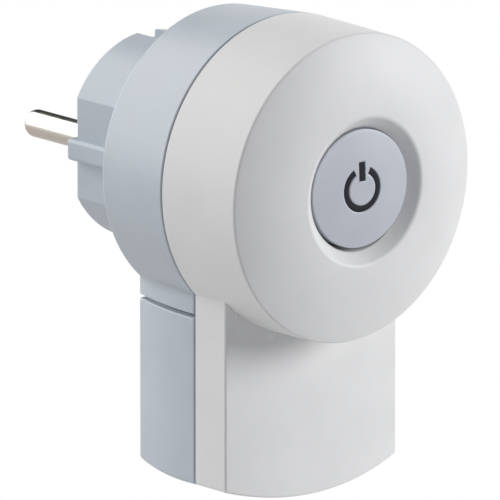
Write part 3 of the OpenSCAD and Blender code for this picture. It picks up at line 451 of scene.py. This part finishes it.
# on/off sign: a rounded strip carried round an open ring, and an upright bar, both drawn in by inset
def signGrids(inset, front, back):
    half, mid, edge = sign["stroke"] / 2 - inset, sign["r"] - sign["stroke"] / 2, sign["edge"]
    inner, outer = mid - half, mid + half
    strip = roundCorners([(inner, front, edge), (outer, front, edge), (outer, back), (inner, back)], steps=3)
    upright, gap = 90, sign["gapAngle"]
    angle = np.radians(np.linspace(upright + gap, upright + 360 - gap, sign["arcPoints"]))[:, None]
    arc = np.stack([strip[:, 0] * np.cos(angle), strip[:, 1] + 0 * angle, strip[:, 0] * np.sin(angle)], -1)
    right, low, top = sign["barWide"] / 2 - inset, sign["barLow"] + inset, sign["barTop"] - inset

    def barOutline(drawn):
        x, z0, z1 = right - drawn, low + drawn, top - drawn
        return np.array([(-x, z0), (x, z0), (x, z1), (-x, z1)])

    barMiddle = (0, (low + top) / 2)
    bar = carried(barOutline, level(front), level(back), (edge, 0), barMiddle, capRows=3, wallRows=3)
    return [settled(closedEnds(arc)), settled(bar[..., [0, 2, 1]])]


faceArc = np.linspace(0, button["r"] - button["faceClear"], button["facePoints"])
capR, bodyR = button["r"] - skin, button["skirtR"] + button["lap"]
capProfile = roundCorners([
    *zip(faceArc, buttonV(faceArc)), (capR, buttonV(capR), button["edge"]), (capR, -button["capBack"]),
    (button["skirtR"], -button["capBack"]), (button["skirtR"], -button["plateBack"]),
    (0, -button["plateBack"])])
bodyProfile = np.array([
    (0, -button["cutBack"]), (bodyR, -button["cutBack"]), (bodyR, -button["skirtCut"]),
    (button["farR"], -button["skirtCut"]), (button["farR"], button["farV"]), (0, button["farV"])])
signCut = signGrids(0, -buttonTop - sign["cutOut"], sign["depth"] - buttonTop)
pushButton = solidFrom("pushButton", [revolved(bodyProfile)])
combine(pushButton, cadCopy("push_button"), "INTERSECT")
combine(pushButton, solidFrom("buttonCap", [settled(revolved(capProfile))]), "UNION")
combine(pushButton, solidFrom("signCut", signCut), "DIFFERENCE")
dress(pushButton, "grey_abs", "button", ["push_button"], finish="grey_cap")
signFill = signGrids(sign["fit"], sign["sink"] - buttonTop, sign["depth"] - buttonTop - slip)
powerSign = solidFrom("powerSign", signFill)
dress(powerSign, "dark_print", "button", ["power_symbol"])

pin = {"x": 9.5, "r": 2.4, "tipR": 1.6, "end": 53.8, "root": 34.8, "stemR": 2.1, "bossEnd": 22.0,
       "collarR": 3.15, "collarEnd": 20.0, "tailR": 1.85, "rivetSeat": 11.4, "rivetR": 2.85, "rivetEnd": 10.6,
       "rootEdge": 0.15, "collarEdge": 0.2, "rivetEdge": 0.6}
pinProfile = roundCorners([
    (0, pin["end"]), (pin["r"], pin["end"], pin["tipR"]), (pin["r"], pin["root"], pin["rootEdge"]),
    (pin["stemR"], pin["root"]), (pin["stemR"], pin["bossEnd"]),
    (pin["collarR"], pin["bossEnd"], pin["collarEdge"]),
    (pin["collarR"], pin["collarEnd"], pin["collarEdge"]),
    (pin["tailR"], pin["collarEnd"]), (pin["tailR"], pin["rivetSeat"]), (pin["rivetR"], pin["rivetSeat"]),
    (pin["rivetR"], pin["rivetEnd"], pin["rivetEdge"]), (0, pin["rivetEnd"])], steps=12)
for name, node, x in (("linePin", "line_pin", -pin["x"]), ("neutralPin", "neutral_pin", pin["x"])):
    dress(solidFrom(name, [revolved(pinProfile, (x, 0), segments=160)]), "nickel", "housing", [node])

tube = {"z": 10.0, "bore": 2.5, "r": 3.4, "front": 15.1, "back": 32.2, "boreEdge": 0.25, "edge": 0.15}
tubeProfile = roundCorners([
    (tube["bore"], tube["front"], tube["boreEdge"]), (tube["bore"], tube["back"], tube["boreEdge"]),
    (tube["r"], tube["back"], tube["edge"]), (tube["r"], tube["front"], tube["edge"])])
earthSocket = solidFrom("earthSocket", [revolved(tubeProfile, (0, tube["z"]), segments=96)], wrapRows=True)
dress(earthSocket, "brass", "housing", ["earth_socket"])

bush = {"bore": 4.0, "neckR": 5.8, "flangeR": 6.95, "low": -54.9, "shelf": -52.5, "flangeHigh": -50.5,
        "high": -46.5, "edge": 0.5, "flangeEdge": 0.3}
bushProfile = roundCorners([
    (bush["bore"], bush["low"], bush["edge"]), (bush["neckR"], bush["low"], bush["edge"]),
    (bush["neckR"], bush["shelf"]), (bush["flangeR"], bush["shelf"], bush["flangeEdge"]),
    (bush["flangeR"], bush["flangeHigh"], bush["flangeEdge"]), (bush["neckR"], bush["flangeHigh"]),
    (bush["neckR"], bush["high"], bush["flangeEdge"]), (bush["bore"], bush["high"], bush["edge"])])
cordGrommet = solidFrom("cordGrommet", [revolved(bushProfile, segments=128)[..., [0, 2, 1]]], wrapRows=True)
dress(cordGrommet, "black_rubber", "housing", ["cord_grommet"])

screw = {"r": 1.45, "headR": 2.6, "headHigh": 2.0, "headEdge": 0.4, "underEdge": 0.1, "tipEdge": 0.4}
screwSets = {
    "housingScrews": {"node": "housing_screws", "x": 15.274, "z": (-15.274, 15.274),
                      "seat": 14.3, "tip": -8.0},
    "coverScrews": {"node": "cover_screws", "x": 12.8, "z": (-47.3,), "seat": 3.0, "tip": -5.0},
}


# cheese-head screw turned about the plug's axis; its slot comes from the CAD copy
def screwProfile(seat, tip):
    headR, r = screw["headR"] - skin, screw["r"] - skin
    top, under, end = seat + screw["headHigh"] - skin, seat + skin, tip + skin
    return roundCorners([
        (0, top), (headR, top, screw["headEdge"]), (headR, under, screw["underEdge"]), (r, under),
        (r, end, screw["tipEdge"]), (0, end)])


for name, row in screwSets.items():
    profile = screwProfile(row["seat"], row["tip"])
    places = [(x, z) for x in (-row["x"], row["x"]) for z in row["z"]]
    screws = solidFrom(name, [revolved(profile, place, segments=64) for place in places])
    combine(screws, cadCopy(row["node"]), "INTERSECT")
    dress(screws, "steel", "housing", [row["node"]])

coil = {"r": 2.4, "wire": 0.25, "turns": 5, "stepsPerTurn": 48, "sides": 16}
lowV, highV = (corner.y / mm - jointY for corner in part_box("return_spring"))
turns = np.linspace(0, 2 * np.pi * coil["turns"], coil["stepsPerTurn"] * coil["turns"] + 1)[:, None]
around = np.linspace(0, 2 * np.pi, coil["sides"], endpoint=False)[None]
# helix: a round wire whose middle climbs evenly along v while it goes round
along = lowV + coil["wire"] + (highV - lowV - 2 * coil["wire"]) * turns / turns[-1]
out = coil["r"] + coil["wire"] * np.cos(around)
wire = np.stack([out * np.cos(turns), along + coil["wire"] * np.sin(around), out * np.sin(turns)], -1)
returnSpring = solidFrom("returnSpring", [closedEnds(wire)])
dress(returnSpring, "steel", "housing", ["return_spring"])
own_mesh(returnSpring)
print("pieces built")

slotOf = {row["node"]: row["material_slot"] for row in frame["record"]["subparts"]}
for node, shown in frame["nodes"].items():
    if not shown.hide_render:
        shown.data.materials.clear()
        shown.data.materials.append(materials[slotOf[node]])
print("CAD nodes dressed")

# camera worked out from the photograph's own edges: degrees, and the eye in mm with v for y
photo = {"azimuth": -41.773, "elevation": 14.316, "eye": (-1612.3, -1797.1, 601.9), "lens": 1053.0,
         "sensor": 36.0, "farthest": 20.0}
azimuth, elevation = math.radians(photo["azimuth"]), math.radians(photo["elevation"])
flatWay = np.array([math.sin(azimuth), -math.cos(azimuth), 0])
backward = flatWay * math.cos(elevation) + np.array([0, 0, math.sin(elevation)])
rightward = np.array([math.cos(azimuth), math.sin(azimuth), 0])


def placed(place, right, back):  # matrix of something at a place that looks against back
    turn = np.column_stack([right, np.cross(back, right), back])
    return Matrix.Translation(place) @ Matrix(turn.tolist()).to_4x4()


camera = addObject("camera", bpy.data.cameras.new("camera"))
camera.data.lens = photo["lens"]
camera.data.sensor_width = photo["sensor"]
camera.data.clip_end = photo["farthest"]
camera.matrix_world = placed((np.array(photo["eye"]) + (0, jointY, 0)) * mm, rightward, backward)
bpy.context.scene.camera = camera

lit = {"middle": (0, -27, -14), "distance": 1.2}  # lamps point at this place, in mm, from this far, in m


# round soft lamp; share is the part of a colour's written value that it gives a surface facing it
def softLamp(name, towards, size, share, tint):
    way = np.array(towards) / np.linalg.norm(towards)
    across = np.cross((0, 0, 1), way)
    lamp = bpy.data.lights.new(name, "AREA")
    lamp.shape = "DISK"
    lamp.size = size
    lamp.energy = share * math.pi ** 2 * lit["distance"] ** 2
    lamp.color = toLinear(tint)[:3]
    holder = addObject(name, lamp)
    place = np.array(lit["middle"]) * mm + way * lit["distance"]
    holder.matrix_world = placed(place, across / np.linalg.norm(across), way)
    holder.visible_camera = False


softLamp("keyLamp", towards=(0.7, -0.65, 0.25), size=0.6, share=0.775, tint="#FFFFFF")
softLamp("backLamp", towards=(-0.4, 0.7, 0.5), size=1.8, share=1.14, tint="#FFFEFA")
softLamp("sideLamp", towards=(-0.95, 0.25, 0.2), size=1.0, share=0.11, tint="#FFFFFF")

# white to the eye and in reflections, a weak cool light on surfaces
studio = {"paper": ("#FFFFFF", 1.0), "ambient": ("#F7F9FF", 0.28)}
world = bpy.data.worlds.new("studio")
world.use_nodes = True
bpy.context.scene.world = world
tree = world.node_tree
tree.nodes.clear()
path = addNode(tree, "ShaderNodeLightPath").outputs
seen = addNode(tree, "ShaderNodeMath", {"operation": "ADD"},
               links={0: path["Is Camera Ray"], 1: path["Is Glossy Ray"]})
seen = addNode(tree, "ShaderNodeMath", {"operation": "ADD", "use_clamp": True},
               links={0: seen.outputs[0], 1: path["Is Transmission Ray"]})
ambient, paper = (
    addNode(tree, "ShaderNodeBackground", values={"Color": toLinear(tone), "Strength": strength}).outputs[0]
    for tone, strength in (studio["ambient"], studio["paper"]))
mixed = addNode(tree, "ShaderNodeMixShader", links={0: seen.outputs[0], 1: ambient, 2: paper})
addNode(tree, "ShaderNodeOutputWorld", links={"Surface": mixed.outputs[0]})

# matt studio paper: a pale round floor below the plug, fading out towards its edge
floorDisc = {"r": 350.0, "z": -155.0, "rings": 20, "fadeFrom": 200.0, "fadeTo": 370.0, "tone": "#ECECEC",
             "roughness": 0.9}
radii = np.linspace(0, floorDisc["r"], floorDisc["rings"])
floorProfile = np.column_stack([radii, np.full(radii.shape, floorDisc["z"])])
floor = solidFrom("floor", [revolved(floorProfile, segments=96)[..., [0, 2, 1]]])
material, tree, shader, place = newMaterial("studio_paper_matt")
shader.inputs["Base Color"].default_value = toLinear(floorDisc["tone"])
shader.inputs["Roughness"].default_value = floorDisc["roughness"]
far = addNode(tree, "ShaderNodeVectorMath", {"operation": "LENGTH"}, links={0: place})
fadeFrom, fadeTo = floorDisc["fadeFrom"] * mm, floorDisc["fadeTo"] * mm
fade = addNode(tree, "ShaderNodeMapRange", links={"Value": far.outputs["Value"]},
               values={"From Min": fadeFrom, "From Max": fadeTo, "To Min": 1.0, "To Max": 0.0})
tree.links.new(fade.outputs["Result"], shader.inputs["Alpha"])
floor.data.materials.append(material)

# two matt cards out of the camera's sight, seen only in the polished pins: corners in mm, and tone
cards = {
    # behind on the right: dark line along the pin's top
    "blackCard": {"corners": [(104, 80, -8), (26, 80, 109), (4, 80, 40), (30, 80, -4)], "tone": "#1C1C1C"},
    # below and behind: warm grey lower half
    "lowCard": {"corners": [(-500, 60, -130), (500, 60, -130), (500, 700, -130), (-500, 700, -130)],
                "tone": "#D9D2CC"},
}
for name, row in cards.items():
    mesh = bpy.data.meshes.new(name)
    mesh.from_pydata((np.array(row["corners"]) * mm).tolist(), [], [(0, 1, 2, 3)])
    card = addObject(name, mesh)
    material, tree, shader, place = newMaterial(name + "_matt")
    shader.inputs["Base Color"].default_value = toLinear(row["tone"])
    shader.inputs["Roughness"].default_value = 1.0
    mesh.materials.append(material)
    card.visible_camera = False
    card.visible_diffuse = False
    card.visible_shadow = False

bpy.context.scene.view_settings.view_transform = "Standard"
print("studio set")
